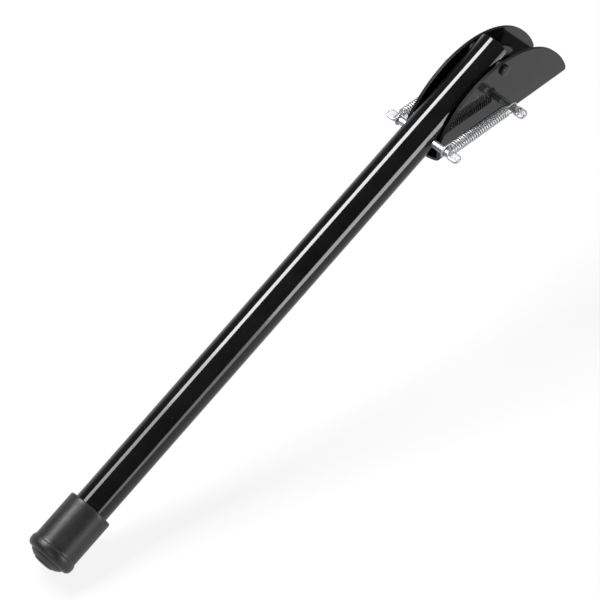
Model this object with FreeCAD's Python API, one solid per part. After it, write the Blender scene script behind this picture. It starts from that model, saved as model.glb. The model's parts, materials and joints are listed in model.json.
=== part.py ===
"""Side stand for a light motorcycle: a folding leg on a half-moon channel bracket.

Frame, in millimetres: the origin is the middle of the bracket's flat mounting face, which lies in
the plane Z = 0 and faces down. +X runs along the bracket towards its free end, +Z goes from the
mounting face towards the pivot, and Y is the direction of the pins. The leg is folded: it points
towards -X and hangs LEG_REST_ANGLE degrees below the mounting plane. It swings up and over, about
the pivot, to stand past the square position.
"""
import FreeCAD, Part
import math
import os

Vector = FreeCAD.Vector
X_AXIS, Y_AXIS, Z_AXIS = Vector(1, 0, 0), Vector(0, 1, 0), Vector(0, 0, 1)

# ---- bracket: one sheet folded into a channel with two half-moon cheeks -------------------------
BRACKET_LENGTH = 114.0       # along the mounting face
SHEET = 2.0                  # sheet thickness
BEND_RADIUS = 3.2            # outside radius of the two long folds
CHEEK_PLAY = 0.9             # between the tube and the inside of each cheek
CHEEK_ARC_DROP = 15.3        # centre of the half-moon arc, below the mounting face
CORNER_RADIUS = 1.6          # rounding where the arc meets the square ends
BOLT_HOLE = 9.0              # clearance hole for an 8 mm mounting bolt
BOLT_SPACING = 90.0          # between the two bolt holes

# ---- pivot --------------------------------------------------------------------------------------
PIVOT_HEIGHT = 39.8          # above the mounting face
PIVOT_DIAMETER = 6.4
PIVOT_HEAD_DIAMETER = 7.0    # the peened ends
PIVOT_HEAD = 2.0             # how far each end stands out of its cheek
SLEEVE_DIAMETER = 10.0       # the sleeve across the tube, which turns on the pivot pin
RUNNING_CLEARANCE = 0.05     # radial, where the sleeve turns on the pin
SIDE_CLEARANCE = 0.3         # between the sleeve's ends and the cheeks

# ---- leg ----------------------------------------------------------------------------------------
LEG_REST_ANGLE = 23.8        # degrees below the mounting plane when folded
TUBE_DIAMETER = 22.2
TUBE_WALL = 1.6
TUBE_TOP = 9.2               # open end of the tube, past the pivot
LEG_REACH = 395.0            # from the pivot to the tip of the foot

# ---- foot: a rubber boot pushed over the tube ---------------------------------------------------
FOOT_LENGTH = 42.6
FOOT_DIAMETER = 28.9
BEAD_DIAMETER = 30.8         # thicker ring around the tread
BEAD_HEIGHT = 7.0
BEAD_EDGE = 3.4              # rounding between the bead and the tread
TREAD_DOME = 4.0             # how far the tread bulges
FOOT_FLOOR = 9.0             # rubber under the steel disc, at the middle
FOOT_LIP = 1.2               # rounding of the boot's top edge
DISC_THICKNESS = 1.5
DISC_PLAY = 0.2              # around the disc, inside the boot

# ---- spring pins: round rod with both ends flattened into paddles -------------------------------
SPRING_PIN_DIAMETER = 4.76
PIN_HOLE_CLEARANCE = 0.05    # radial
PADDLE_LENGTH = 8.4
PADDLE_WIDTH = 6.4
PADDLE_THICKNESS = 2.3
PADDLE_TAPER = 2.6           # length over which the rod is beaten flat
PADDLE_CORNER = 2.3
UPPER_PIN_HEIGHT = 14.9      # above the mounting face, straight under the pivot
UPPER_PIN_SHAFT = 49.0       # between the paddles
LOWER_PIN_REACH = 60.6       # from the pivot, along the leg
LOWER_PIN_SHAFT = 41.0       # between the paddles
LOWER_PIN_SHIFT = 2.8        # the loose pin lies this far towards the right side
STOP_CLEARANCE = 0.3         # the lower pin to the cheeks' edges when folded

# ---- springs ------------------------------------------------------------------------------------
SPRING_WIRE = 1.05
COIL_RADIUS = 3.2            # to the middle of the wire
COIL_TURNS = 26
HOOK_BEND = 1.1              # radius where the wire leaves the last turn
HOOK_GAP = 0.3               # end of the hook's loop to the last turn
HOOK_SPLIT = 0.3             # where the moving hook is parted from the coil
HOOK_OPEN = 10.0             # degrees that the loop is short of touching the axis
WIRE_FLATS = 6               # the wire's section is drawn with this many flats
SPRING_OFFSET = 19.9         # sideways from the middle
SPRING_SHIFT = 1.6           # both springs lie this far towards the right side

# ---- worked out from the sizes above ------------------------------------------------------------
CHEEK_INSIDE = TUBE_DIAMETER / 2 + CHEEK_PLAY
CHEEK_OUTSIDE = CHEEK_INSIDE + SHEET
LEG_TURN = 90.0 - LEG_REST_ANGLE
PIVOT = Vector(0, 0, PIVOT_HEIGHT)
UPPER_PIN = Vector(0, 0, UPPER_PIN_HEIGHT)
LEG_UP = Vector(math.cos(math.radians(LEG_REST_ANGLE)), 0, math.sin(math.radians(LEG_REST_ANGLE)))
LOWER_PIN = PIVOT - LEG_UP * LOWER_PIN_REACH
ARC_CENTRE = Vector(0, 0, -CHEEK_ARC_DROP)
CHEEK_ARC = (LOWER_PIN - ARC_CENTRE).Length - SPRING_PIN_DIAMETER / 2 - STOP_CLEARANCE


def cylinder_along_y(radius, half_length, centre):
    """A round bar along Y, centred on a point."""
    return Part.makeCylinder(radius, 2 * half_length, centre - Y_AXIS * half_length, Y_AXIS)


def on_leg(shape):
    """Place a shape drawn along +Z, with the pivot at the origin, on the folded leg."""
    placed = shape.copy()
    placed.rotate(Vector(0, 0, 0), Y_AXIS, LEG_TURN)
    placed.translate(PIVOT)
    return placed


def revolve_profile(edges):
    """Turn a closed profile, drawn in the XZ plane, about the Z axis."""
    face = Part.Face(Part.Wire(edges))
    return face.revolve(Vector(0, 0, 0), Z_AXIS, 360)


def polyline(points):
    """The straight edges through a list of points, in order."""
    return [Part.makeLine(a, b) for a, b in zip(points, points[1:])]


def mounting_bracket():
    """The folded channel: web, two long folds and two half-moon cheeks."""
    height = CHEEK_ARC - CHEEK_ARC_DROP
    half = BRACKET_LENGTH / 2
    outer = Part.makeBox(BRACKET_LENGTH, 2 * CHEEK_OUTSIDE, 2 * height,
                         Vector(-half, -CHEEK_OUTSIDE, 0))
    folds = [e for e in outer.Edges if e.BoundBox.XLength > half and e.BoundBox.ZMax < SHEET]
    outer = outer.makeFillet(BEND_RADIUS, folds)
    inner = Part.makeBox(BRACKET_LENGTH, 2 * CHEEK_INSIDE, 2 * height,
                         Vector(-half, -CHEEK_INSIDE, SHEET))
    folds = [e for e in inner.Edges
             if e.BoundBox.XLength > half and e.BoundBox.ZMax < SHEET + BEND_RADIUS]
    inner = inner.makeFillet(max(BEND_RADIUS - SHEET, 0.3), folds)
    channel = outer.cut(inner)
    moon = cylinder_along_y(CHEEK_ARC, CHEEK_OUTSIDE + SHEET, ARC_CENTRE)
    channel = channel.common(moon)

    corner_height = math.sqrt(CHEEK_ARC ** 2 - half ** 2) - CHEEK_ARC_DROP
    corners = [e for e in channel.Edges
               if e.BoundBox.XLength < 0.01 and e.BoundBox.ZLength < 0.01
               and abs(abs(e.BoundBox.XMax) - half) < 0.01
               and abs(e.BoundBox.ZMax - corner_height) < 0.01]
    channel = channel.makeFillet(CORNER_RADIUS, corners)

    cuts = [cylinder_along_y(PIVOT_DIAMETER / 2, CHEEK_OUTSIDE + SHEET, PIVOT),
            cylinder_along_y(SPRING_PIN_DIAMETER / 2, CHEEK_OUTSIDE + SHEET, UPPER_PIN)]
    for side in (-1, 1):
        foot = Vector(side * BOLT_SPACING / 2, 0, -SHEET)
        cuts.append(Part.makeCylinder(BOLT_HOLE / 2, 3 * SHEET, foot, Z_AXIS))
    return channel.cut(cuts)


def pivot_pin():
    """A round pin through both cheeks, with its two ends peened over."""
    shaft = cylinder_along_y(PIVOT_DIAMETER / 2, CHEEK_OUTSIDE, PIVOT)
    heads = []
    for side in (-1, 1):
        face = PIVOT + Y_AXIS * side * CHEEK_OUTSIDE
        head = Part.makeCylinder(PIVOT_HEAD_DIAMETER / 2, PIVOT_HEAD, face, Y_AXIS * side)
        rim = [e for e in head.Edges if abs(e.BoundBox.Center.y - face.y) > PIVOT_HEAD / 2
               and e.BoundBox.YLength < 0.01]
        heads.append(head.makeChamfer(PIVOT_HEAD / 4, rim))
    return shaft.fuse(heads).removeSplitter()


def pivot_sleeve():
    """The cross sleeve of the leg, which turns on the pivot pin."""
    half = CHEEK_INSIDE - SIDE_CLEARANCE
    sleeve = cylinder_along_y(SLEEVE_DIAMETER / 2, half, PIVOT)
    return sleeve.cut(cylinder_along_y(PIVOT_DIAMETER / 2 + RUNNING_CLEARANCE, half + 1, PIVOT))


def leg_tube():
    """The straight leg, drilled for the sleeve and for the lower spring pin."""
    length = TUBE_TOP + LEG_REACH - FOOT_FLOOR - DISC_THICKNESS
    low_end = Vector(0, 0, TUBE_TOP - length)
    tube = Part.makeCylinder(TUBE_DIAMETER / 2, length, low_end)
    tube = tube.cut(Part.makeCylinder(TUBE_DIAMETER / 2 - TUBE_WALL, length, low_end))
    sleeve_hole = cylinder_along_y(SLEEVE_DIAMETER / 2, TUBE_DIAMETER, Vector(0, 0, 0))
    pin_hole = cylinder_along_y(SPRING_PIN_DIAMETER / 2 + PIN_HOLE_CLEARANCE, TUBE_DIAMETER,
                                Vector(0, 0, -LOWER_PIN_REACH))
    return on_leg(tube.cut([sleeve_hole, pin_hole]))


def rubber_foot():
    """The boot: a sleeve over the tube, a thick bead and a low domed tread."""
    bottom = -LEG_REACH
    seat = bottom + FOOT_FLOOR
    shoulder = bottom + TREAD_DOME
    bead_top = shoulder + BEAD_HEIGHT
    top = bottom + FOOT_LENGTH
    bore, sleeve, bead = TUBE_DIAMETER / 2, FOOT_DIAMETER / 2, BEAD_DIAMETER / 2
    tread_edge = bead - BEAD_EDGE
    dome = Part.Arc(Vector(0, 0, bottom),
                    Vector(tread_edge / 2, 0, bottom + TREAD_DOME / 4),
                    Vector(tread_edge, 0, shoulder)).toShape()
    round_off = BEAD_EDGE * (1 - math.sqrt(0.5))
    edge = Part.Arc(Vector(tread_edge, 0, shoulder),
                    Vector(bead - round_off, 0, shoulder + round_off),
                    Vector(bead, 0, shoulder + BEAD_EDGE)).toShape()
    flank = Part.makeLine(Vector(bead, 0, shoulder + BEAD_EDGE), Vector(bead, 0, bead_top))
    step = Part.makeLine(Vector(bead, 0, bead_top), Vector(sleeve, 0, bead_top + bead - sleeve))
    lip = Part.Arc(Vector(sleeve, 0, top - FOOT_LIP),
                   Vector(sleeve - FOOT_LIP * 0.3, 0, top - FOOT_LIP * 0.3),
                   Vector(sleeve - FOOT_LIP, 0, top)).toShape()
    wall = Part.makeLine(Vector(sleeve, 0, bead_top + bead - sleeve),
                         Vector(sleeve, 0, top - FOOT_LIP))
    edges = [dome, edge, flank, step, wall, lip]
    edges += polyline([Vector(sleeve - FOOT_LIP, 0, top), Vector(bore, 0, top),
                       Vector(bore, 0, seat), Vector(0, 0, seat), Vector(0, 0, bottom)])
    return on_leg(revolve_profile(edges))


def foot_disc():
    """The steel disc in the boot that keeps the tube from cutting through."""
    seat = Vector(0, 0, FOOT_FLOOR - LEG_REACH)
    return on_leg(Part.makeCylinder(TUBE_DIAMETER / 2 - DISC_PLAY, DISC_THICKNESS, seat))


def paddle_pin(shaft_length):
    """A rod along Y, centred on the origin, whose two ends are beaten flat into paddles."""
    rod = SPRING_PIN_DIAMETER / 2
    solids = [cylinder_along_y(rod, shaft_length / 2, Vector(0, 0, 0))]
    start, end = shaft_length / 2, shaft_length / 2 + PADDLE_LENGTH
    flat, wide = PADDLE_THICKNESS / 2, PADDLE_WIDTH / 2
    for side in (-1, 1):
        y_start, y_flat, y_end = side * start, side * (start + PADDLE_TAPER), side * end
        profile = polyline([Vector(0, y_start, rod), Vector(0, y_flat, flat), Vector(0, y_end, flat),
                            Vector(0, y_end, -flat), Vector(0, y_flat, -flat),
                            Vector(0, y_start, -rod), Vector(0, y_start, rod)])
        wedge = Part.Face(Part.Wire(profile)).extrude(X_AXIS * PADDLE_WIDTH)
        wedge.translate(X_AXIS * -wide)
        plan = polyline([Vector(rod, y_start, 0), Vector(wide, y_flat, 0), Vector(wide, y_end, 0),
                         Vector(-wide, y_end, 0), Vector(-wide, y_flat, 0),
                         Vector(-rod, y_start, 0), Vector(rod, y_start, 0)])
        blank = Part.Face(Part.Wire(plan)).extrude(Z_AXIS * SPRING_PIN_DIAMETER)
        blank.translate(Z_AXIS * -rod)
        paddle = wedge.common(blank)
        tips = [e for e in paddle.Edges if e.BoundBox.ZLength > flat
                and abs(e.BoundBox.Center.y - y_end) < 0.01 and e.BoundBox.XLength < 0.01]
        solids.append(paddle.makeFillet(PADDLE_CORNER, tips))
    return solids[0].fuse(solids[1:]).removeSplitter()


def upper_spring_pin():
    """The pin fixed in both cheeks, under the pivot."""
    pin = paddle_pin(UPPER_PIN_SHAFT)
    pin.translate(UPPER_PIN)
    return pin


def lower_spring_pin():
    """The loose pin across the leg, which also lands on the cheeks' edges as the folded stop."""
    pin = paddle_pin(LOWER_PIN_SHAFT)
    pin.rotate(Vector(0, 0, 0), Y_AXIS, -LEG_REST_ANGLE)
    pin.translate(LOWER_PIN - Y_AXIS * LOWER_PIN_SHIFT)
    return pin


def spring_ends(side):
    """Where the axis of the spring on one side crosses the upper and the lower pin."""
    sideways = Y_AXIS * (side * SPRING_OFFSET - SPRING_SHIFT)
    return UPPER_PIN + sideways, LOWER_PIN + sideways


def wire_section(centre, across, upright):
    """A flat-sided section of the spring wire, with the area of the round wire."""
    angle = 2 * math.pi / WIRE_FLATS
    radius = math.sqrt(math.pi * (SPRING_WIRE / 2) ** 2 / (WIRE_FLATS * math.sin(angle) / 2))
    corners = [centre + across * radius * math.cos(i * angle) + upright * radius * math.sin(i * angle)
               for i in range(WIRE_FLATS)]
    return Part.Face(Part.Wire(polyline(corners + corners[:1])))


def arc(start, middle, end):
    """A circular arc through three points."""
    return Part.Arc(start, middle, end).toShape()


def hook_path(coil_end, loop_height, way, start_x):
    """Edges from the end of the coil, round a small bend, up a leg and round the hook's loop.

    way is +1 for the lower hook, above the coil in the spring's own frame, and -1 for the upper.
    """
    short = HOOK_BEND * (1 - math.sqrt(0.5))
    loop_x = start_x + way * HOOK_BEND
    bend_start = Vector(start_x, -COIL_RADIUS, coil_end)
    bend_middle = Vector(loop_x - way * short, -COIL_RADIUS, coil_end + way * short)
    bend_end = Vector(loop_x, -COIL_RADIUS, coil_end + way * HOOK_BEND)
    centre = Vector(loop_x, 0, loop_height)
    loop_start = centre - Y_AXIS * COIL_RADIUS
    last = way * (HOOK_OPEN - 90)
    half = way * (180 + HOOK_OPEN - 90) / 2
    loop_middle = centre + FreeCAD.Rotation(X_AXIS, half).multVec(Y_AXIS) * COIL_RADIUS
    loop_end = centre + FreeCAD.Rotation(X_AXIS, last).multVec(Y_AXIS) * COIL_RADIUS
    return [arc(bend_start, bend_middle, bend_end), Part.makeLine(bend_end, loop_start),
            arc(loop_start, loop_middle, loop_end)]


def in_spring_place(shape, side):
    """Move a spring solid from its own frame, along +Z from the upper loop, to its side.

    Both springs are the same part, turned so that the lower loop is on the side of the leg.
    """
    upper, lower = spring_ends(side)
    along = (lower - upper).normalize()
    across = Y_AXIS * -side
    placed = shape.copy()
    turn = FreeCAD.Rotation(across, along.cross(across), along, "ZXY")
    placed.Placement = FreeCAD.Placement(upper, turn)
    return placed


def spring_solids(side):
    """One extension spring: the coil with its upper hook, and the lower hook that moves away.

    The spring is drawn along +Z, with the middle of its upper loop at Z = 0. Each turn of the coil
    is two half circles, tilted one way and the other, that run on into each other smoothly.
    """
    upper, lower = spring_ends(side)
    length = (lower - upper).Length
    hook_rise = COIL_RADIUS + SPRING_WIRE + HOOK_GAP
    pitch = (length - 2 * hook_rise) / COIL_TURNS

    path = hook_path(hook_rise, 0, -1, 0)[::-1]
    for half_turn in range(2 * COIL_TURNS):
        z = hook_rise + half_turn * pitch / 2
        way = 1 if half_turn % 2 == 0 else -1
        path.append(arc(Vector(0, -way * COIL_RADIUS, z), Vector(way * COIL_RADIUS, 0, z + pitch / 4),
                        Vector(0, way * COIL_RADIUS, z + pitch / 2)))
    free_end = FreeCAD.Rotation(X_AXIS, 90 - HOOK_OPEN).multVec(Y_AXIS)
    section = wire_section(X_AXIS * -HOOK_BEND + free_end * COIL_RADIUS, X_AXIS, free_end)
    coil = Part.Wire(Part.__sortEdges__(path)).makePipe(section)

    low_end = length - hook_rise
    section = wire_section(Vector(HOOK_SPLIT, -COIL_RADIUS, low_end), Y_AXIS, Z_AXIS)
    hook = Part.Wire(hook_path(low_end, length, 1, HOOK_SPLIT)).makePipe(section)
    return in_spring_place(coil, side), in_spring_place(hook, side)


def main():
    os.makedirs("parts", exist_ok=True)
    left_coil, left_hook = spring_solids(1)
    right_coil, right_hook = spring_solids(-1)
    nodes = {
        "mounting_bracket": mounting_bracket(),
        "pivot_pin": pivot_pin(),
        "pivot_sleeve": pivot_sleeve(),
        "leg_tube": leg_tube(),
        "rubber_foot": rubber_foot(),
        "foot_disc": foot_disc(),
        "upper_spring_pin": upper_spring_pin(),
        "lower_spring_pin": lower_spring_pin(),
        "left_spring_coil": left_coil,
        "left_spring_hook": left_hook,
        "right_spring_coil": right_coil,
        "right_spring_hook": right_hook,
    }
    for name, shape in nodes.items():
        solid = shape.Solids[0] if len(shape.Solids) == 1 else shape
        solid.exportStep("parts/" + name + ".step")
        box = solid.BoundBox
        print(f"{name:18s} solids {len(shape.Solids)} valid {solid.isValid()} "
              f"volume {solid.Volume:9.1f} "
              f"x {box.XMin:7.1f} {box.XMax:6.1f}  y {box.YMin:6.1f} {box.YMax:5.1f}  "
              f"z {box.ZMin:7.1f} {box.ZMax:6.1f}")


main()
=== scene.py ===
# %% [markdown]
# # A folding side stand
# The part is a round steel leg that swings on a folded half-moon bracket. Two extension springs
# pull a loose cross pin on the leg towards a fixed cross pin in the bracket, so the leg snaps
# either way past the middle. The frame from the CAD model gives the places and the joints;
# this lesson makes the surfaces that the eye sees: rolled and beaten edges, wound wire, moulded
# rubber, gloss enamel and bright zinc plate.

# %% Load the fixed frame
import json
import math
import bmesh
import bpy
from mathutils import Matrix, Vector

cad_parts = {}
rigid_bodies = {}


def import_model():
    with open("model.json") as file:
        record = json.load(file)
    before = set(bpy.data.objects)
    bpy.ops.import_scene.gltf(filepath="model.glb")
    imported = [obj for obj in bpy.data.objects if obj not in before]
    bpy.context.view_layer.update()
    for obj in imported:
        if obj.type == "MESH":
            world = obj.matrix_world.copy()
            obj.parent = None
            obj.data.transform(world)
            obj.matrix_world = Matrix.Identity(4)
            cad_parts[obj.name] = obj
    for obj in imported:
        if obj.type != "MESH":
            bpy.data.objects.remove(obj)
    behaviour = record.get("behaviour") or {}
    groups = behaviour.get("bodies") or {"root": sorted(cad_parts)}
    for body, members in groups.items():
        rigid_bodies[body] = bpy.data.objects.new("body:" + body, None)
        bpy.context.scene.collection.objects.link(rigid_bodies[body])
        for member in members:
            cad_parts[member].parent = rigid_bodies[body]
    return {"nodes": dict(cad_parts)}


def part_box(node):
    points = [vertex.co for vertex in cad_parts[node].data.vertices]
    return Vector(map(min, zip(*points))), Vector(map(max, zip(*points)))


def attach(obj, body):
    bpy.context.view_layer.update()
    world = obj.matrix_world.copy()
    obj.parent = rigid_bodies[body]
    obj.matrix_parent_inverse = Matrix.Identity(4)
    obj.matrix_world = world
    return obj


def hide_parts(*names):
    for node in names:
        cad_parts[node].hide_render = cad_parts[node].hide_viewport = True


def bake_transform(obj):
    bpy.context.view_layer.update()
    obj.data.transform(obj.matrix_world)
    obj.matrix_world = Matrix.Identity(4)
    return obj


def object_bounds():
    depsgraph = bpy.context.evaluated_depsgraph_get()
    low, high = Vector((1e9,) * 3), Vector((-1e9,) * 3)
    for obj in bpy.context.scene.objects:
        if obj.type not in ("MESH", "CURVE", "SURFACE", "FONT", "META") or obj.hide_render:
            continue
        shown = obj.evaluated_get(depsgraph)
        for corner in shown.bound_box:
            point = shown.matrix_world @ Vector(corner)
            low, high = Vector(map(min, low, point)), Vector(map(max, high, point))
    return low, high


for leftover in list(bpy.data.objects):
    bpy.data.objects.remove(leftover)
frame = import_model()
cad_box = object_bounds()
print("CAD box:", [[round(v, 4) for v in corner] for corner in cad_box])

# %% [markdown]
# ## Where things are
# A stand is measured from its pivot. The leg is straight, so two numbers give it: the pivot's
# height over the mounting face and the leg's angle when it is folded. The places below are read
# from the boxes of the CAD nodes where a box gives them, so that they follow the CAD model.

# %% Places read from the frame
MM = 0.001


def middle(node):
    """The middle of a CAD node's box."""
    low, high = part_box(node)
    return (Vector(low) + Vector(high)) / 2


pivot = middle("pivot_pin")
upper_pin = middle("upper_spring_pin")
lower_pin = middle("lower_spring_pin")
leg_up = Vector((pivot.x - lower_pin.x, 0, pivot.z - lower_pin.z)).normalized()
leg_angle = math.atan2(leg_up.z, leg_up.x)
print("leg angle:", round(math.degrees(leg_angle), 2), "degrees above the +X axis")

# %% [markdown]
# ## The camera first
# A long lens from about two metres keeps the tube's two edges nearly parallel. The camera is set
# before anything is made, so that every later step can be judged through it. It looks down at
# about 48 degrees, from beyond the foot and from the stand's right-hand side, which is -Y.

# %% Camera
LENS, SENSOR_WIDTH = 198.0, 36.0
CAMERA_PLACE = (-1.08025, -0.92601, 1.38020)
CAMERA_TURN = (42.4059, -0.3204, -44.6555)
SEES_AS_FAR_AS = 20.0

camera_data = bpy.data.cameras.new("camera")
camera_data.lens = LENS
camera_data.sensor_width = SENSOR_WIDTH
camera_data.clip_end = SEES_AS_FAR_AS
camera = bpy.data.objects.new("camera", camera_data)
camera.location = CAMERA_PLACE
camera.rotation_euler = [math.radians(angle) for angle in CAMERA_TURN]
bpy.context.collection.objects.link(camera)
bpy.context.scene.camera = camera
bpy.context.scene.view_settings.view_transform = "Standard"
print("camera to pivot:", round((Vector(camera.location) - pivot).length, 3), "m")

# %% [markdown]
# ## Helpers for materials
# A material is a small network. Writing a helper that makes one node and connects its inputs
# keeps each recipe readable: a socket gets a number, a colour, or another node's output. All
# patterns read Object coordinates, in metres, so a noise scale of 500 has features of about 2 mm.

# %% One node at a time


def feed(tree, socket, value):
    """Connect a socket to another node's output, or give it a number, a colour or a name."""
    if isinstance(value, bpy.types.NodeSocket):
        tree.links.new(value, socket)
    else:
        socket.default_value = value


def set_up(tree, node, **inputs):
    """Feed a node's sockets: Base_Color is the one called Base Color, and _2 is the third one."""
    for name, value in inputs.items():
        key = int(name[1:]) if name[0] == "_" else name.replace("_", " ")
        feed(tree, node.inputs[key], value)


def add_node(tree, kind, settings=None, **inputs):
    """Make a node, choose its settings and feed its sockets."""
    made = tree.nodes.new(kind)
    for name, value in (settings or {}).items():
        setattr(made, name, value)
    set_up(tree, made, **inputs)
    return made


def new_finish(name):
    """An empty material with its output, its Object coordinates and one main shader."""
    material = bpy.data.materials.new(name)
    material.use_nodes = True
    tree = material.node_tree
    tree.nodes.clear()
    output = tree.nodes.new("ShaderNodeOutputMaterial")
    shader = tree.nodes.new("ShaderNodeBsdfPrincipled")
    tree.links.new(shader.outputs["BSDF"], output.inputs["Surface"])
    coordinates = tree.nodes.new("ShaderNodeTexCoord").outputs["Object"]
    return material, tree, shader, coordinates


def noise(tree, coordinates, scale, detail=2.0, roughness=0.5):
    """A noise pattern's grey value."""
    return add_node(tree, "ShaderNodeTexNoise", Vector=coordinates, Scale=scale,
                    Detail=detail, Roughness=roughness).outputs["Fac"]


def spread(tree, value, low, high, to_low, to_high):
    """Map a value's range low..high onto to_low..to_high, clamped."""
    return add_node(tree, "ShaderNodeMapRange", Value=value, From_Min=low, From_Max=high,
                    To_Min=to_low, To_Max=to_high).outputs["Result"]


def blended_colour(tree, factor, first, second):
    """Mix two colours. In a Mix node the colours are sockets 6 and 7, and their mix is output 2."""
    return add_node(tree, "ShaderNodeMix", {"data_type": "RGBA"}, _0=factor, _6=first, _7=second).outputs[2]


def joined(tree, operation, first, second):
    """One step of arithmetic on two values."""
    return add_node(tree, "ShaderNodeMath", {"operation": operation}, _0=first, _1=second).outputs[0]


def bumped(tree, height, distance, strength, under=None):
    """A bump from a height pattern, over the bump under it; distance is in metres."""
    made = add_node(tree, "ShaderNodeBump", Height=height, Distance=distance, Strength=strength)
    if under is not None:
        tree.links.new(under, made.inputs["Normal"])
    return made.outputs["Normal"]


print("features of 2 mm need a noise scale of", round(1 / (2 * MM)))

# %% [markdown]
# ## Gloss black enamel
# The bracket and the leg are dipped or sprayed with a black enamel and stoved. The film is
# thick enough to flow, so it mirrors its surroundings, but it never lies quite flat: a gentle
# ripple, called orange peel, bends the reflections. Dust makes a few specks. On sheared and
# broken edges the film draws back, so there it is thin, a little greyer and much duller. One
# recipe makes both, and the thin one goes on the edge faces as a second material.

# %% The enamel
DUST = (0.10, 0.10, 0.095, 1)
CLOUDS, SPECKS, PATCHES = 45.0, 1400.0, 28.0    # noise scales: features in a metre
PEEL, PEEL_HEIGHT = 420.0, 0.012 * MM
RIPPLE, RIPPLE_HEIGHT = 60.0, 0.05 * MM
PAINT_IOR = 1.50


def make_enamel(name, body, bloom, smooth, rough, gloss):
    """Two blacks in soft clouds, a few specks, and a roughness from smooth to rough."""
    material, tree, shader, place = new_finish(name)
    cloud = spread(tree, noise(tree, place, CLOUDS, 3.0), 0.35, 0.65, 0.0, 1.0)
    specks = spread(tree, noise(tree, place, SPECKS, 1.0), 0.74, 0.80, 0.0, 0.5)
    film = blended_colour(tree, cloud, body, bloom)
    patches = noise(tree, place, PATCHES, 4.0, 0.6)
    peel = bumped(tree, noise(tree, place, PEEL, 1.0), PEEL_HEIGHT, 0.5)
    set_up(tree, shader,
           Base_Color=blended_colour(tree, specks, film, DUST),
           Roughness=spread(tree, patches, 0.3, 0.7, smooth, rough),
           Normal=bumped(tree, noise(tree, place, RIPPLE, 1.0), RIPPLE_HEIGHT, 0.5, peel),
           IOR=PAINT_IOR, Specular_IOR_Level=gloss)
    return material


enamel = make_enamel("gloss_black_enamel", body=(0.0030, 0.0030, 0.0034, 1),
                     bloom=(0.0060, 0.0060, 0.0065, 1), smooth=0.05, rough=0.10, gloss=0.5)
thin_enamel = make_enamel("thin_enamel_on_edges", body=(0.004, 0.004, 0.004, 1),
                          bloom=(0.010, 0.010, 0.010, 1), smooth=0.42, rough=0.55, gloss=0.12)
print("made", enamel.name, "and", thin_enamel.name)

# %% [markdown]
# ## Bright zinc plate
# The springs and the cross pins are plated: nearly white metal with a faint blue cast. Plate is
# not a mirror. It is made of fine crystals, and it goes over a drawn surface, so it scatters
# light a little, unevenly, and handling leaves small dull patches. The springs get the wire's
# drawing marks as fine streaks along the wire, from a value stored along their length.

# %% Zinc for the pins and for the wire
DULL_PATCHES, CRYSTALS = 150.0, 420.0
DULLED = 0.74                                   # of the plate's brightness is left in a patch
DENTS, DENT_HEIGHT = 700.0, 0.020 * MM
DINGS, DING_HEIGHT = 160.0, 0.08 * MM
WIRE_MARKS = "around_and_along"
MARK_HEIGHT = 0.012 * MM


def beaten_surface(tree):
    """Small dents with broad dings over them, as a hammer or a press leaves."""
    place = add_node(tree, "ShaderNodeTexCoord").outputs["Object"]
    dents = bumped(tree, noise(tree, place, DENTS, 2.0), DENT_HEIGHT, 0.5)
    return bumped(tree, noise(tree, place, DINGS, 1.0), DING_HEIGHT, 0.4, dents)


def drawn_surface(tree):
    """Fine streaks along the wire, from the value stored on it."""
    stored = add_node(tree, "ShaderNodeAttribute", {"attribute_name": WIRE_MARKS}).outputs["Vector"]
    return bumped(tree, noise(tree, stored, 1.0, 2.0), MARK_HEIGHT, 0.5)


def make_zinc(name, tone, smooth, rough, surface):
    """Bright plate with duller patches; surface makes its bumps."""
    material, tree, shader, place = new_finish(name)
    patches = spread(tree, noise(tree, place, DULL_PATCHES, 4.0, 0.6), 0.35, 0.7, 0.0, 1.0)
    dull = tuple(DULLED * v for v in tone)
    crystals = noise(tree, place, CRYSTALS, 3.0)
    set_up(tree, shader,
           Base_Color=blended_colour(tree, patches, dull + (1,), tone + (1,)),
           Roughness=spread(tree, crystals, 0.3, 0.7, smooth, rough),
           Normal=surface(tree), Metallic=1.0)
    return material


zinc_pin = make_zinc("zinc_plate_on_rod", (0.58, 0.59, 0.61), 0.38, 0.50, beaten_surface)
zinc_wire = make_zinc("zinc_plate_on_wire", (0.76, 0.77, 0.79), 0.36, 0.48, drawn_surface)
print("made", zinc_pin.name, "and", zinc_wire.name)

# %% [markdown]
# ## Matt black rubber
# The boot is moulded. Its mould was blasted, so the rubber has a fine even grain that kills
# reflections but leaves a broad soft sheen. A little bloom and floor dust greys it in patches,
# and the edges, which rub, are a shade lighter.

# %% The rubber
RUBBER_BLACK, RUBBER_BLOOM = (0.012, 0.012, 0.013, 1), (0.024, 0.024, 0.025, 1)
RUBBED = (0.045, 0.045, 0.045, 1)
BLOOM_PATCHES, SHEEN_PATCHES = 90.0, 300.0
GRAIN, GRAIN_HEIGHT = 2600.0, 0.030 * MM
UNEVENNESS, UNEVEN_HEIGHT = 240.0, 0.06 * MM


def rubbed_edges(tree):
    """1 along outside edges and 0 on flat places, from how pointed the surface is."""
    pointed = add_node(tree, "ShaderNodeNewGeometry").outputs["Pointiness"]
    return spread(tree, pointed, 0.52, 0.62, 0.0, 1.0)


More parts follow.
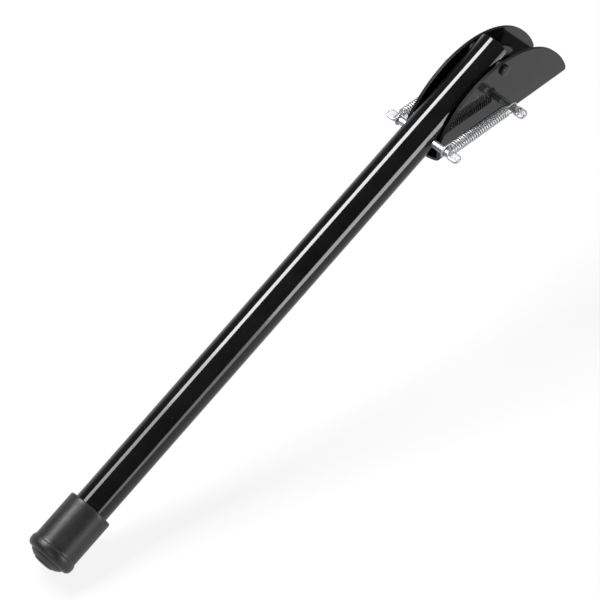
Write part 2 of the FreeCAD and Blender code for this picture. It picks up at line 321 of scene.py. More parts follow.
def make_rubber():
    """Black with a grey bloom in patches, a fine grain, and paler rubbed edges."""
    material, tree, shader, place = new_finish("matt_black_rubber")
    bloom = spread(tree, noise(tree, place, BLOOM_PATCHES, 5.0, 0.65), 0.4, 0.75, 0.0, 1.0)
    body = blended_colour(tree, bloom, RUBBER_BLACK, RUBBER_BLOOM)
    sheen = noise(tree, place, SHEEN_PATCHES, 3.0)
    grain = bumped(tree, noise(tree, place, GRAIN, 2.0), GRAIN_HEIGHT, 0.6)
    set_up(tree, shader,
           Base_Color=blended_colour(tree, rubbed_edges(tree), body, RUBBED),
           Roughness=spread(tree, sheen, 0.3, 0.7, 0.34, 0.43),
           Normal=bumped(tree, noise(tree, place, UNEVENNESS, 2.0), UNEVEN_HEIGHT, 0.4, grain))
    return material


rubber = make_rubber()
print("made", rubber.name)

# %% [markdown]
# ## Plain steel
# The disc that closes the tube inside the boot is bare turned steel, greyer than the plate, with
# a film of oil in places.

# %% The steel
BARE_STEEL, OILED_STEEL = (0.42, 0.42, 0.43, 1), (0.28, 0.27, 0.25, 1)
OIL_PATCHES = 120.0
TOOL_MARKS, TOOL_MARK_HEIGHT = 900.0, 0.01 * MM


def make_steel():
    """Bare steel with a darker film of oil in places."""
    material, tree, shader, place = new_finish("plain_turned_steel")
    oil = spread(tree, noise(tree, place, OIL_PATCHES, 3.0), 0.4, 0.7, 0.0, 1.0)
    set_up(tree, shader,
           Base_Color=blended_colour(tree, oil, BARE_STEEL, OILED_STEEL),
           Roughness=spread(tree, oil, 0.0, 1.0, 0.30, 0.48),
           Normal=bumped(tree, noise(tree, place, TOOL_MARKS, 2.0), TOOL_MARK_HEIGHT, 0.5),
           Metallic=1.0)
    return material


steel = make_steel()
print("made", steel.name)

# %% [markdown]
# ## Turning a piece from its outline
# The tube, the boot and the pivot pin are all round, so each is one outline taken round an axis.
# Spinning vertices in mesh code would do it, but a node tree makes the rule plain and can be
# reused: the outline is swept round a small ring, and points that meet on the axis are merged.
# The ring has a radius of its own, so the outline is moved in by that much first.

# %% A node tree that turns an outline
RING_RADIUS = 1.0 * MM
SAME_PLACE = 0.001 * MM


def named_input(tree, name, kind, value=None):
    """Give a tree an input with a name and a first value."""
    socket = tree.interface.new_socket(name=name, in_out="INPUT", socket_type=kind)
    if value is not None:
        socket.default_value = value
    return socket


def set_input(modifier, name, value):
    """Set a modifier's input by its socket's identifier."""
    for item in modifier.node_group.interface.items_tree:
        if item.name == name and item.in_out == "INPUT":
            modifier[item.identifier] = value
            return
    raise KeyError(name)


def start_tree(name):
    """A Geometry Nodes tree that takes and gives a geometry."""
    tree = bpy.data.node_groups.new(name, "GeometryNodeTree")
    tree.interface.new_socket(name="Geometry", in_out="OUTPUT", socket_type="NodeSocketGeometry")
    named_input(tree, "Geometry", "NodeSocketGeometry")
    return tree


def end_tree(tree, geometry, finish):
    """Realize Instances, Set Material and the output, which close every tree here."""
    real = add_node(tree, "GeometryNodeRealizeInstances", Geometry=geometry)
    painted = add_node(tree, "GeometryNodeSetMaterial", Geometry=real.outputs[0], Material=finish)
    output = tree.nodes.new("NodeGroupOutput")
    tree.links.new(painted.outputs[0], output.inputs[0])


def make_turning_tree():
    """Sweep an outline round a ring and merge the points that meet on the axis."""
    tree = start_tree("turn_an_outline")
    for name, kind, value in (("Ring Radius", "NodeSocketFloat", RING_RADIUS),
                              ("Steps Round", "NodeSocketInt", 96),
                              ("Finish", "NodeSocketMaterial", None)):
        named_input(tree, name, kind, value)
    given = tree.nodes.new("NodeGroupInput").outputs
    ring = add_node(tree, "GeometryNodeCurvePrimitiveCircle", Resolution=given["Steps Round"],
                    Radius=given["Ring Radius"])
    outline = add_node(tree, "GeometryNodeMeshToCurve", Mesh=given["Geometry"])
    swept = add_node(tree, "GeometryNodeCurveToMesh", Curve=ring.outputs[0],
                     Profile_Curve=outline.outputs[0])
    merged = add_node(tree, "GeometryNodeMergeByDistance", Geometry=swept.outputs[0],
                      Distance=SAME_PLACE)
    end_tree(tree, merged.outputs[0], given["Finish"])
    return tree


turning_tree = make_turning_tree()
print("tree", turning_tree.name, "has", len(turning_tree.nodes), "nodes")

# %% [markdown]
# ## From a tree to a plain mesh
# What a tree makes is only shown until it is baked: the evaluated object is copied to a mesh of
# its own. Then doubled points are merged, the faces are turned outwards, and each edge is marked
# smooth or sharp by its angle, so that long curves shade softly and corners stay crisp. Outlines
# are written as corners with a rounding each, which is how a drawing gives them.

# %% Helpers that bake a tree and tidy its mesh


def new_object(name, data):
    """Put a mesh or a lamp in the scene."""
    made = bpy.data.objects.new(name, data)
    bpy.context.collection.objects.link(made)
    return made


def baked(source, name):
    """A plain mesh object of what source's modifiers make; source is removed."""
    bpy.context.view_layer.update()
    graph = bpy.context.evaluated_depsgraph_get()
    mesh = bpy.data.meshes.new_from_object(source.evaluated_get(graph))
    bpy.data.objects.remove(source)
    mesh.name = name
    return new_object(name, mesh)


def tidy(piece, smooth_angle=32.0, place=None):
    """Merge doubles, face outwards, move the mesh into place and shade it by angle."""
    work = bmesh.new()
    work.from_mesh(piece.data)
    bmesh.ops.remove_doubles(work, verts=work.verts, dist=0.0001 * MM)
    if place is not None:
        work.transform(place)
    bmesh.ops.recalc_face_normals(work, faces=work.faces)
    for face in work.faces:
        face.smooth = True
    for edge in work.edges:
        edge.smooth = edge.calc_face_angle(0.0) < math.radians(smooth_angle)
    work.to_mesh(piece.data)
    work.free()
    return piece


def turned(name, outline, finish, place, closed=False, steps=96):
    """A round piece. outline is (radius, height) pairs in mm; place is a matrix for its axis."""
    points = [(r * MM - RING_RADIUS, -h * MM, 0.0) for r, h in outline]
    edges = [(i, i + 1) for i in range(len(points) - 1)]
    if closed:
        edges.append((len(points) - 1, 0))
    mesh = bpy.data.meshes.new(name + "_outline")
    mesh.from_pydata(points, edges, [])
    source = new_object(name + "_source", mesh)
    modifier = source.modifiers.new("turn", "NODES")
    modifier.node_group = turning_tree
    set_input(modifier, "Steps Round", steps)
    set_input(modifier, "Finish", finish)
    piece = tidy(baked(source, name), place=place)
    piece.data.materials.clear()
    piece.data.materials.append(finish)
    return piece


def rounded(corners, steps=4):
    """Round an outline's corners: each corner is (radius, height, how round)."""
    smooth = []
    for i, (r, h, rounding) in enumerate(corners):
        here = Vector((r, h))
        if rounding == 0 or i in (0, len(corners) - 1):
            smooth.append((r, h))
            continue
        before = Vector(corners[i - 1][:2]) - here
        after = Vector(corners[i + 1][:2]) - here
        start = here + before.normalized() * min(rounding, before.length * 0.49)
        end = here + after.normalized() * min(rounding, after.length * 0.49)
        for k in range(steps + 1):
            t = k / steps
            smooth.append(tuple(start * (1 - t) ** 2 + here * 2 * t * (1 - t) + end * t * t))
    return smooth


def divided(outline, longest):
    """Add points to an outline's long straight runs."""
    out = [outline[0]]
    for first, second in zip(outline, outline[1:]):
        count = max(1, math.ceil(math.dist(first, second) / longest))
        for k in range(1, count + 1):
            out.append(tuple(a + (b - a) * k / count for a, b in zip(first, second)))
    return out


def with_bevel(piece, width_mm, segments=3, angle=40.0):
    """Break a piece's sharp edges with a live Bevel, which takes the second material."""
    bevel = piece.modifiers.new("broken_edges", "BEVEL")
    bevel.width = width_mm * MM
    bevel.segments = segments
    bevel.limit_method = "ANGLE"
    bevel.angle_limit = math.radians(angle)
    bevel.harden_normals = True
    bevel.material = 1
    return piece


def report(piece):
    """Print a piece's box in mm, its open edges and its volume."""
    low, high = ([round(pick(v.co[i] for v in piece.data.vertices) / MM, 2) for i in range(3)]
                 for pick in (min, max))
    work = bmesh.new()
    work.from_mesh(piece.data)
    open_edges = sum(not edge.is_manifold for edge in work.edges)
    volume = work.calc_volume(signed=True) / MM ** 3
    work.free()
    print(piece.name, low, high, "open edges", open_edges, "volume", round(volume, 1), "mm3")


print("helpers ready: turned pieces have", turning_tree.interface.items_tree["Steps Round"].default_value,
      "steps round unless told otherwise")


# %% [markdown]
# ## The leg
# The leg is a plain length of welded steel tube, cut square. A saw cut is never sharp after
# deburring and paint: its rim is a narrow rounded land that catches a bright line, and that line
# is what tells the eye that the wall is thin. The outline is the wall's section, with its four
# corners rounded, turned round the leg's axis. Two cross holes are then cut for the sleeve and
# the loose pin, so that they pass through real openings.

# %% The leg tube
TUBE_OUTER, TUBE_INNER = 11.1, 9.5
tube_low, tube_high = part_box("leg_tube")
rim_lift = TUBE_OUTER * math.cos(leg_angle)
tube_top = ((tube_high[2] - pivot.z) / MM - rim_lift) / math.sin(leg_angle)
tube_bottom = ((tube_low[2] - pivot.z) / MM + rim_lift) / math.sin(leg_angle)
on_leg = Matrix.Translation(pivot) @ Matrix.Rotation(math.pi / 2 - leg_angle, 4, "Y")
print("tube from", round(tube_bottom, 2), "to", round(tube_top, 2), "mm along the leg from the pivot")

wall = [(TUBE_OUTER, tube_bottom, 0.2), (TUBE_OUTER, tube_top, 0.45),
        (TUBE_INNER, tube_top, 0.3), (TUBE_INNER, tube_bottom, 0.2)]
wall_outline = rounded([wall[-1]] + wall + [wall[0]], 5)[1:-1]
tube = turned("leg_tube_painted", wall_outline, enamel, on_leg, closed=True, steps=128)

# %% The cross holes and the thin paint on the rims
SLEEVE_HOLE, PIN_HOLE = 5.0, 2.43
CUTTER_LENGTH = 60.0 * MM
FACES_THE_END = 0.30


def cut_away(piece, cutter_work):
    """Take a bmesh out of a piece with a Boolean, and keep the result as its mesh."""
    cutter_mesh = bpy.data.meshes.new("cutter")
    bmesh.ops.recalc_face_normals(cutter_work, faces=cutter_work.faces)
    cutter_work.to_mesh(cutter_mesh)
    cutter_work.free()
    cutter = new_object("cutter", cutter_mesh)
    cut = piece.modifiers.new("cut", "BOOLEAN")
    cut.operation, cut.solver, cut.object = "DIFFERENCE", "EXACT", cutter
    name = piece.name
    piece.name = name + "_blank"
    made = baked(piece, name)
    bpy.data.objects.remove(cutter)
    return tidy(made)


def drilled(piece, radius_mm, centre):
    """Cut a hole along Y through a piece."""
    work = bmesh.new()
    bmesh.ops.create_cone(work, cap_ends=True, segments=48, radius1=radius_mm * MM,
                          radius2=radius_mm * MM, depth=CUTTER_LENGTH)
    work.transform(Matrix.Translation(centre) @ Matrix.Rotation(math.pi / 2, 4, "X"))
    return cut_away(piece, work)


tube = drilled(tube, SLEEVE_HOLE, pivot)
tube = drilled(tube, PIN_HOLE, Vector((lower_pin.x, 0, lower_pin.z)))
tube.data.materials.append(thin_enamel)
for face in tube.data.polygons:
    if abs(face.normal.dot(leg_up)) > FACES_THE_END:
        face.material_index = 1
report(tube)

# %% [markdown]
# ## The boot
# The foot is one rubber moulding pushed over the tube: a thick sleeve with a rounded lip, a
# bead that spreads on the ground, and a low domed tread. All of it is round, so it is turned
# from its outline too. The corners are rounded by their real radii. Under the bead the mould
# leaves a small step, and the tread has one shallow ring, which gives it grip.

# %% The rubber boot
FOOT_TIP = -395.0                               # along the leg from the pivot
BOOT_LENGTH, BOOT_R, BEAD_R, BORE_R = 42.6, 14.45, 15.4, 11.12
DISC_SEAT = 9.0                                 # height of the bore's end over the tip
LONGEST_STEP = 1.5

dome = [(0.0, 0.0, 0), (3.2, 0.13, 0), (6.2, 0.65, 0.3)]
tread_ring = [(6.5, 1.35, 0.2), (7.3, 1.55, 0.2), (7.6, 1.35, 0.3)]
tread = [(9.3, 2.3, 0.8), (10.9, 3.4, 0.7), (11.4, 4.3, 0.3)]
bead = [(13.5, 4.5, 1.0), (15.0, 6.1, 1.0), (BEAD_R, 8.0, 1.0), (BEAD_R - 0.1, 10.2, 0.8),
        (BOOT_R, 11.7, 0.7)]
boot_wall = [(BOOT_R, BOOT_LENGTH, 1.3), (BORE_R, BOOT_LENGTH, 0.5), (BORE_R, DISC_SEAT, 0.3),
             (0.0, DISC_SEAT, 0)]
boot_corners = [(r, FOOT_TIP + h, rounding) for r, h, rounding in
                dome + tread_ring + tread + bead + boot_wall]
foot = turned("rubber_boot", divided(rounded(boot_corners, 5), LONGEST_STEP), rubber, on_leg)
report(foot)

# %% [markdown]
# ## The pivot pin
# The leg swings on a plain pin whose ends are upset under a press after assembly, so each head
# is a low mushroom with a soft rim, painted with the rest of the stand.

# %% The pivot pin
PIVOT_R, HEAD_R = 3.2, 3.5
CHEEK_FACE, HEAD_TOP = 14.0, 16.0               # sideways from the stand's middle

along_y = Matrix.Translation(pivot) @ Matrix.Rotation(-math.pi / 2, 4, "X")
half_pin = [(PIVOT_R, 0.0, 0), (PIVOT_R, CHEEK_FACE, 0), (HEAD_R, CHEEK_FACE, 0.1), (HEAD_R, 15.5, 0.5),
            (3.0, 15.9, 0.5), (1.2, HEAD_TOP, 0.4), (0.0, HEAD_TOP, 0)]
half_outline = rounded(half_pin)[1:]
pin_outline = [(r, -h) for r, h in reversed(half_outline)] + half_outline
pivot_piece = turned("pivot_pin_painted", pin_outline, enamel, along_y, steps=64)
report(pivot_piece)

# %% [markdown]
# ## The cross pins
# Each cross pin is a length of plated rod. Its ends are beaten flat into round-cornered paddles,
# which keep the springs' loops from slipping off. A paddle has no sharp edge anywhere: the metal
# flows from a circle into a wide oval. Lofting a run of ovals says exactly that, so the pin is
# built from rings whose width, thickness and squareness change along its length.

# %% The shape of a beaten end
ROD_R, PADDLE_LONG, PADDLE_HALF, PADDLE_THIN = 2.38, 8.4, 3.2, 1.15
TAPER, CORNER = 2.6, 2.6                        # from rod to paddle, and the paddle's corners
LIP, LIP_THIN = 0.7, 0.45                       # the paddle's end thins to this share
ROUND, SQUARER = 2.0, 1.3                       # 2 is an oval, and a larger power is squarer
DISH = 0.22                                     # hollow that the press leaves in each face
RING_POINTS = 40
RING_DISTANCES = [0.0, 0.05, 0.15, 0.3, 0.5, 0.7, 1.0, 1.4, 1.9, 2.6, 3.6, 4.8, 5.8, 6.2, 6.6, 7.0,
                  7.4, 7.8, 8.2, 8.4, 9.0, 12.0]


def section_of_pin(distance_from_end):
    """Half width, half thickness, squareness and dish of the pin's section, in mm."""
    beaten = min(max((PADDLE_LONG - distance_from_end) / TAPER, 0.0), 1.0)
    beaten = beaten * beaten * (3 - 2 * beaten)
    wide = ROD_R + (PADDLE_HALF - ROD_R) * beaten
    thin = ROD_R + (PADDLE_THIN - ROD_R) * beaten
    if distance_from_end < CORNER:
        inward = CORNER - distance_from_end
        wide = PADDLE_HALF - CORNER + math.sqrt(max(CORNER ** 2 - inward ** 2, 0.0))
    if distance_from_end < LIP:
        left = (LIP - distance_from_end) / LIP
        thin *= math.sqrt(max(1 - left ** 2, 0.0)) * (1 - LIP_THIN) + LIP_THIN
    return wide, thin, ROUND + SQUARER * beaten, DISH * beaten


def ring_of_pin(distance_from_end):
    """The section's points as (across, up) pairs, in mm."""
    wide, thin, square, dish = section_of_pin(distance_from_end)
    ring = []
    for k in range(RING_POINTS):
        angle = 2 * math.pi * (k + 0.5) / RING_POINTS
        c, s = math.cos(angle), math.sin(angle)
        across = wide * math.copysign(abs(c) ** (2 / square), c)
        up = thin * math.copysign(abs(s) ** (2 / square), s)
        up -= math.copysign(dish * abs(s) * (1 - (across / max(wide, 0.01)) ** 2), s)
        ring.append((across, up))
    return ring


print("a paddle is", 2 * PADDLE_HALF, "mm wide and", 2 * PADDLE_THIN, "mm thick")

# %% The cross pins


def beaten_pin(name, centre, half_length, wide_way, finish):
    """Loft the rings from end to end along Y and close both ends."""
    flat_way = Vector((0, 1, 0)).cross(wide_way)
    stations = [(-half_length + d, d) for d in RING_DISTANCES]
    stations += [(half_length - d, d) for d in reversed(RING_DISTANCES)]
    work = bmesh.new()
    rings = []
    for y, distance in stations:
        at = centre + Vector((0, y * MM, 0))
        rings.append([work.verts.new(at + wide_way * across * MM + flat_way * up * MM)
                      for across, up in ring_of_pin(distance)])
    for first, second in zip(rings, rings[1:]):
        for k in range(RING_POINTS):
            n = (k + 1) % RING_POINTS
            work.faces.new((first[k], first[n], second[n], second[k]))
    work.faces.new(rings[0][::-1])
    work.faces.new(rings[-1])
    mesh = bpy.data.meshes.new(name)
    work.to_mesh(mesh)
    work.free()
    mesh.materials.append(finish)
    return tidy(new_object(name, mesh), 50.0)


def half_length_of(node):
    """Half of a cross pin's length, in mm."""
    low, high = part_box(node)
    return (high[1] - low[1]) / 2 / MM


def turned_by(degrees):
    """The +X direction turned up by an angle, for the wide way of a paddle."""
    return Vector((math.cos(math.radians(degrees)), 0, math.sin(math.radians(degrees))))


UPPER_PADDLES_TURN, LOWER_PADDLES_TURN = 14.0, 7.0
upper_rod = beaten_pin("upper_cross_pin", upper_pin, half_length_of("upper_spring_pin"),
                       turned_by(UPPER_PADDLES_TURN), zinc_pin)
lower_rod = beaten_pin("lower_cross_pin", lower_pin, half_length_of("lower_spring_pin"),
                       turned_by(LOWER_PADDLES_TURN), zinc_pin)
report(upper_rod)
report(lower_rod)

# %% [markdown]
# ## The springs
# An extension spring is one wire. It comes up out of the coil, turns through a small bend and
# runs round a full loop that hooks over a pin, and the same at the other end. A curve for the
# wire's centre line, with a round section swept along it, is how the wire really lies, and it
# leaves no seam between coil and loop. The line is worked out from the spring's own sizes. The
# tree sweeps the section, and stores how far round and along the wire each point is. The two
# numbers are scaled so that a noise of scale 1 puts 14 marks round the wire and one in every
# 5 or 6 mm along it, which makes the long streaks that a drawing die leaves.

# %% A node tree that draws wire along a line
MARKS_ROUND, MARKS_PER_METRE = 14.0, 180.0


def store(tree, geometry, name, value, kind="FLOAT"):
    """Store a value on a geometry's points; it is socket 3 of the node."""
    settings = {"data_type": kind, "domain": "POINT"}
    return add_node(tree, "GeometryNodeStoreNamedAttribute", settings, Geometry=geometry, Name=name,
                    _3=value).outputs[0]


def scaled_value(tree, name, scale):
    """Read a stored value and multiply it."""
    stored = add_node(tree, "GeometryNodeInputNamedAttribute", {"data_type": "FLOAT"}, Name=name)
    return joined(tree, "MULTIPLY", stored.outputs[0], scale)


def make_wire_tree():
    """Sweep a round section along a line, with the values for the drawing marks."""
    tree = start_tree("wire_along_a_line")
    for name, kind, value in (("Wire Radius", "NodeSocketFloat", 0.5 * MM),
                              ("Sides", "NodeSocketInt", 10),
                              ("Finish", "NodeSocketMaterial", None)):
        named_input(tree, name, kind, value)
    given = tree.nodes.new("NodeGroupInput").outputs
    line = add_node(tree, "GeometryNodeMeshToCurve", Mesh=given["Geometry"])
    section = add_node(tree, "GeometryNodeCurvePrimitiveCircle", Resolution=given["Sides"],
                       Radius=given["Wire Radius"])
    run = add_node(tree, "GeometryNodeSplineParameter").outputs
    swept = add_node(tree, "GeometryNodeCurveToMesh", Fill_Caps=True,
                     Curve=store(tree, line.outputs[0], "along", run["Length"]),
                     Profile_Curve=store(tree, section.outputs[0], "around", run["Factor"]))
    marks = add_node(tree, "ShaderNodeCombineXYZ", X=scaled_value(tree, "around", MARKS_ROUND),
                     Y=scaled_value(tree, "along", MARKS_PER_METRE))
    marked = store(tree, swept.outputs[0], WIRE_MARKS, marks.outputs[0], "FLOAT_VECTOR")
    end_tree(tree, marked, given["Finish"])
    return tree


wire_tree = make_wire_tree()
print("tree", wire_tree.name, "has", len(wire_tree.nodes), "nodes")

# %% The line of one spring
WIRE_R, COIL_R, TURNS = 0.525, 3.2, 26
COIL_STARTS = 4.55                              # from the middle of each pin to the coil
LOOP_R, LOOP_SIDE, LOOP_SWEEP = 3.6, 1.25, 268  # the loop stands a little to the side
BEND_RISE = 1.5                                 # from the last turn into the loop
HOOK_PLAY = 0.12                                # between the loop and its pin
TURN_STEPS, BEND_STEPS, LOOP_STEPS = 28, 8, 48


def loop_points(way, coil_end, loop_height):
    """From the coil's end, round the bend and the loop. way is +1 for the lower loop."""
    line = []
    for k in range(1, BEND_STEPS + 1):
        t = k / BEND_STEPS
        line.append(Vector((way * LOOP_SIDE * math.sin(t * math.pi / 2),
                            -COIL_R - (LOOP_R - COIL_R) * t * t,
                            coil_end + way * BEND_RISE * (1 - math.cos(t * math.pi / 2)))))
    for k in range(1, LOOP_STEPS + 1):
        angle = math.radians(180 - way * LOOP_SWEEP * k / LOOP_STEPS)
        line.append(Vector((way * LOOP_SIDE, LOOP_R * math.cos(angle),
                            loop_height + LOOP_R * math.sin(angle))))
    return line


def spring_line(length):
    """The centre line, along +Z from the upper pin to the lower pin, in mm."""
    low_end = length - COIL_STARTS
    slack = LOOP_R - WIRE_R - ROD_R - HOOK_PLAY
    upper = loop_points(-1, COIL_STARTS, slack)
    lower = loop_points(1, low_end, length - slack)
    coil = []
    for k in range(TURNS * TURN_STEPS + 1):
        angle = 2 * math.pi * k / TURN_STEPS
        coil.append(Vector((COIL_R * math.sin(angle), -COIL_R * math.cos(angle),
                            COIL_STARTS + (low_end - COIL_STARTS) * k / (TURNS * TURN_STEPS))))
    return upper[::-1] + coil + lower


print("a spring's line has", len(spring_line(50.0)), "points")

# %% Both springs
SPRING_Y = {"left": 18.3 * MM, "right": -21.5 * MM}


def facing(x_axis, y_axis, z_axis):
    """The turn that lays X, Y and Z along three directions."""
    return Matrix((x_axis, y_axis, z_axis)).transposed().to_4x4()


springs = {}
for side, y in SPRING_Y.items():
    top, bottom = Vector((upper_pin.x, y, upper_pin.z)), Vector((lower_pin.x, y, lower_pin.z))
    along = (bottom - top).normalized()
    inwards = Vector((0, -1 if side == "left" else 1, 0))
    place = Matrix.Translation(top) @ facing(inwards, along.cross(inwards), along)
    points = spring_line((bottom - top).length / MM)
    steps = [(i, i + 1) for i in range(len(points) - 1)]
    mesh = bpy.data.meshes.new(side + "_line")
    mesh.from_pydata([place @ (p * MM) for p in points], steps, [])
    source = new_object(side + "_source", mesh)
    modifier = source.modifiers.new("wire", "NODES")
    modifier.node_group = wire_tree
    set_input(modifier, "Wire Radius", WIRE_R * MM)
    set_input(modifier, "Finish", zinc_wire)
    spring = tidy(baked(source, side + "_extension_spring"), 60.0)
    springs[side] = (spring, top + along * COIL_STARTS * MM, bottom - along * COIL_STARTS * MM)
    report(spring)

# %% [markdown]
# ## The bracket
# The bracket is pressed from 2 mm sheet: blanked, pierced, and folded into a channel with two
# half-moon cheeks. Its shape in the CAD model is already right. What the CAD solid lacks is the
# blanked edge: shearing rolls the edge over, and the paint rounds it further. So a copy of the
# CAD mesh is merged, its flat areas are joined back into whole faces, the front end gets the
# slight crown that the punch leaves on it, and a narrow bevel breaks every edge.

# %% A clean copy of the channel
FLAT_WITHIN = 0.6                               # degrees


def merged_copy(node, name, finish):
    """A copy of a CAD node's mesh with its points merged and its flat areas made whole."""
    mesh = frame["nodes"][node].data.copy()
    mesh.name = name
    work = bmesh.new()
    work.from_mesh(mesh)
    bmesh.ops.remove_doubles(work, verts=work.verts, dist=0.002 * MM)
    bmesh.ops.dissolve_limit(work, angle_limit=math.radians(FLAT_WITHIN), verts=work.verts,
                             edges=work.edges)
    work.to_mesh(mesh)
    work.free()
    mesh.materials.clear()
    mesh.materials.append(finish)
    return tidy(new_object(name, mesh), 30.0)


bracket = merged_copy("mounting_bracket", "folded_bracket", enamel)
print("bracket has", len(bracket.data.polygons), "whole faces")

# %% The folded channel with its crowned end
END_OF_WEB, END_SET_BACK = -55.6, 3.0
HALF_BRACKET = 14.0                             # from its middle to the outside of a cheek
BLOCK_END, BLOCK_HALF = -70.0, 16
BLOCK_LOW, BLOCK_HIGH = -5.0 * MM, 20.0 * MM
BROKEN_EDGE = 0.32
CHEEK_MIDDLE, HALF_WALL = 13.0 * MM, 0.4 * MM


def beyond_the_crowned_end():
    """A block outside the curve that the punch gave to the front end, crowned across the web."""
    curve = [(END_OF_WEB + END_SET_BACK * (y / HALF_BRACKET) ** 2, y)
             for y in range(-BLOCK_HALF, BLOCK_HALF + 1, 2)]
    corners = [(BLOCK_END, BLOCK_HALF), (BLOCK_END, -BLOCK_HALF)]
    plan = [(x * MM, y * MM) for x, y in curve + corners]
    work = bmesh.new()
    low = [work.verts.new((x, y, BLOCK_LOW)) for x, y in plan]
    high = [work.verts.new((x, y, BLOCK_HIGH)) for x, y in plan]
    work.faces.new(low)
    work.faces.new(high)
    for i in range(len(plan)):
        n = (i + 1) % len(plan)
        work.faces.new((low[i], low[n], high[n], high[i]))
    return work


def is_sheared(face):
    """True for a cheek's edge, which faces along the cheek and lies in the middle of its wall."""
    return abs(face.normal.y) < 0.05 and abs(abs(face.center.y) - CHEEK_MIDDLE) < HALF_WALL


bracket = with_bevel(cut_away(bracket, beyond_the_crowned_end()), BROKEN_EDGE)
bracket.data.materials.append(thin_enamel)
sheared = [face for face in bracket.data.polygons if is_sheared(face)]
for face in sheared:
    face.material_index = 1
report(bracket)
print("sheared edge faces:", len(sheared))

# %% [markdown]
# ## What stays from the CAD model
# The sleeve inside the pivot and the disc inside the boot are seen only through gaps. Their CAD
# shapes are exact and stay as they are. The sleeve is welded into the leg before painting, so its
# ends carry a thin coat of the enamel; the disc is bare. Every other rigid CAD node is replaced by
# the piece made for it, which rides on the same body. Each spring replaces its coil and hook
# nodes, but it is baked where it is and rides on neither body, so it does not stretch as the leg turns.

# %% Ride, replace, and finish the sleeve and the disc
for node, finish in (("pivot_sleeve", thin_enamel), ("foot_disc", steel)):
    frame["nodes"][node].data.materials.clear()
    frame["nodes"][node].data.materials.append(finish)

rigid_pieces = ((tube, "leg", "leg_tube", "black_paint"),
                (foot, "leg", "rubber_foot", "black_rubber"),
                (lower_rod, "leg", "lower_spring_pin", "zinc_pin"),
                (upper_rod, "bracket", "upper_spring_pin", "zinc_pin"),
                (pivot_piece, "bracket", "pivot_pin", "black_paint"),
                (bracket, "bracket", "mounting_bracket", "black_paint"))
for piece, body, node, slot in rigid_pieces:
    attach(piece, body)
    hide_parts(node)

for side, (spring, coil_top, coil_low) in springs.items():
    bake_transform(spring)
    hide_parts(side + "_spring_coil", side + "_spring_hook")

# %% [markdown]
# ## Floor and background
# A white floor fills the view. Seen by the camera and in reflections it glows at a strength of
# 1, which is white, mixed with a share of the plain white paint under it, so that the stand's
# soft shadow is still there. Mirrored in paint and metal the glow is a shade lower, because a
# real floor darkens away from the lamps. The sky is white to the camera, and otherwise dim
# overhead, as a studio's dark ceiling is: gloss black only looks black if something dark is there
# to mirror.

# %% The floor's finish
WHITE = (1, 1, 1, 1)
FLOOR_DARK, FLOOR_PALE = (0.84, 0.84, 0.84, 1), (0.88, 0.88, 0.88, 1)
GLOW_SHARE = 0.86                               # the rest is paint, which takes the shadow
GLOW_SEEN, GLOW_MIRRORED = 1.0, 0.68


def make_floor_finish():
    """White paint, mixed with a glow for the rays of the camera, of mirrors and of glass."""
    material, tree, shader, place = new_finish("white_floor")
    set_up(tree, shader, Roughness=0.9, Specular_IOR_Level=0.1,
           Base_Color=blended_colour(tree, noise(tree, place, 3.0), FLOOR_DARK, FLOOR_PALE))
    rays = add_node(tree, "ShaderNodeLightPath").outputs
    mirrored = joined(tree, "MAXIMUM", rays["Is Glossy Ray"], rays["Is Transmission Ray"])
    seen = joined(tree, "MAXIMUM", rays["Is Camera Ray"], mirrored)
    glow = add_node(tree, "ShaderNodeEmission", Color=WHITE,
                    Strength=spread(tree, mirrored, 0.0, 1.0, GLOW_SEEN, GLOW_MIRRORED))
    mixed = add_node(tree, "ShaderNodeMixShader", _0=joined(tree, "MULTIPLY", seen, GLOW_SHARE),
                     _1=shader.outputs[0], _2=glow.outputs[0])
    output = next(node for node in tree.nodes if node.type == "OUTPUT_MATERIAL")
    tree.links.new(mixed.outputs[0], output.inputs["Surface"])
    return material


floor_finish = make_floor_finish()
print("made", floor_finish.name)

# %% The floor
FLOOR_HALF, FLOOR_DROP = 6.0, 0.5 * MM
floor_z = cad_box[0][2] - FLOOR_DROP
floor_corners = [(x * FLOOR_HALF, y * FLOOR_HALF, floor_z) for x, y in ((-1, -1), (1, -1), (1, 1), (-1, 1))]
floor_mesh = bpy.data.meshes.new("studio_floor")
floor_mesh.from_pydata(floor_corners, [], [(0, 1, 2, 3)])
floor_mesh.materials.append(floor_finish)
floor = new_object("studio_floor", floor_mesh)
print("floor at", round(floor_z, 4), "m")

# %% The sky
CEILING, HORIZON = 0.09, 0.40
HORIZON_UP_TO, CEILING_FROM = 0.02, 0.30        # as the height of a direction of length 1

world = bpy.data.worlds.new("studio")
bpy.context.scene.world = world
world.use_nodes = True
sky = world.node_tree
sky.nodes.clear()
direction = add_node(sky, "ShaderNodeTexCoord").outputs["Generated"]
height = add_node(sky, "ShaderNodeSeparateXYZ", _0=direction).outputs["Z"]
level = spread(sky, height, HORIZON_UP_TO, CEILING_FROM, HORIZON, CEILING)
lit = add_node(sky, "ShaderNodeBackground", Color=WHITE, Strength=level)
white = add_node(sky, "ShaderNodeBackground", Color=WHITE, Strength=1.0)
rays = add_node(sky, "ShaderNodeLightPath").outputs
mixed = add_node(sky, "ShaderNodeMixShader", _0=rays["Is Camera Ray"], _1=lit.outputs[0],
                 _2=white.outputs[0])
add_node(sky, "ShaderNodeOutputWorld", Surface=mixed.outputs[0])
print("sky from", HORIZON, "at the horizon to", CEILING, "overhead")

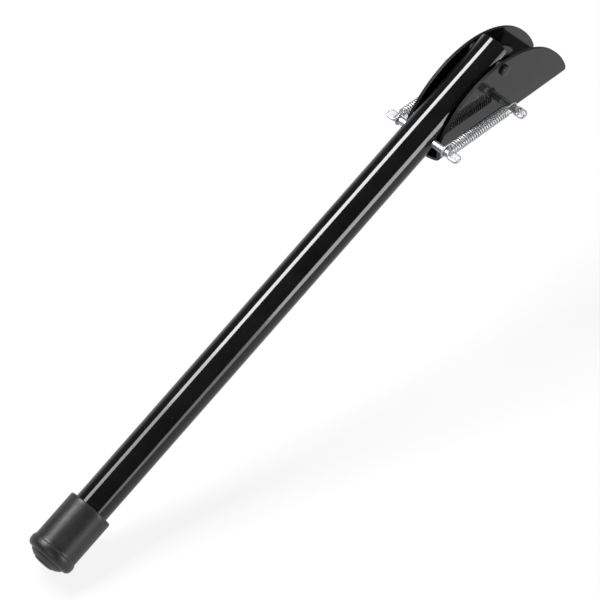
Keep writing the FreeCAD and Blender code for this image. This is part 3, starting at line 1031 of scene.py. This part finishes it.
# %% [markdown]
# ## Light
# Gloss black shows lamps, not light. Softboxes high on the far side lie along the tube and draw
# the bright strip left of its middle, and two low on the near side give the broad grey band on
# the right. Lamps add up where their mirror images overlap, so each long one has shorter ones in
# front of its upper part, and the strip and the band fade towards the foot in steps. Three weaker
# ones stand where the tube can't mirror them, beyond its two ends and behind it, and fill the
# plated wire and pins.

# %% Softboxes


def softbox(name, direction, distance, long_side, short_side, radiance, aim):
    """An area lamp facing aim, its long side along the leg; radiance is what a mirror shows."""
    data = bpy.data.lights.new(name, "AREA")
    data.shape = "RECTANGLE"
    data.size, data.size_y = long_side, short_side
    data.energy = radiance * 4 * long_side * short_side
    lamp = new_object(name, data)
    back = Vector(direction).normalized()
    x_axis = (leg_up - back * leg_up.dot(back)).normalized()
    turn = facing(x_axis, back.cross(x_axis), back)
    lamp.matrix_world = Matrix.Translation(aim + back * distance) @ turn
    lamp.visible_camera = False


def down_the_leg(metres):
    """A place on the leg's axis, that far below the pivot."""
    return pivot - leg_up * metres


HIGH_FAR_SIDE, LOW_NEAR_SIDE = (-0.19, 0.50, 0.84), (0.13, -0.985, 0.10)
softbox("strip_far", HIGH_FAR_SIDE, 1.10, 0.60, 0.40, 4.4, down_the_leg(0.11))
softbox("strip_far_top", HIGH_FAR_SIDE, 1.11, 0.52, 0.40, 4.6, down_the_leg(0.07))
softbox("strip_far_foot", (-0.20, 0.50, 0.84), 1.12, 0.90, 0.40, 6.5, down_the_leg(0.15))
softbox("band_near", LOW_NEAR_SIDE, 1.20, 0.44, 0.46, 3.8, down_the_leg(0.03))
softbox("band_near_foot", LOW_NEAR_SIDE, 1.22, 0.90, 0.46, 2.6, down_the_leg(0.15))
softbox("overhead_back", (0.48, 0.48, 0.74), 1.60, 0.90, 0.90, 1.1, upper_pin)
softbox("fill_foot_side", (-0.88, -0.30, 0.38), 1.60, 0.80, 0.80, 1.3, upper_pin)
softbox("fill_free_end", (0.55, -0.45, 0.70), 1.60, 0.80, 0.80, 1.3, upper_pin)
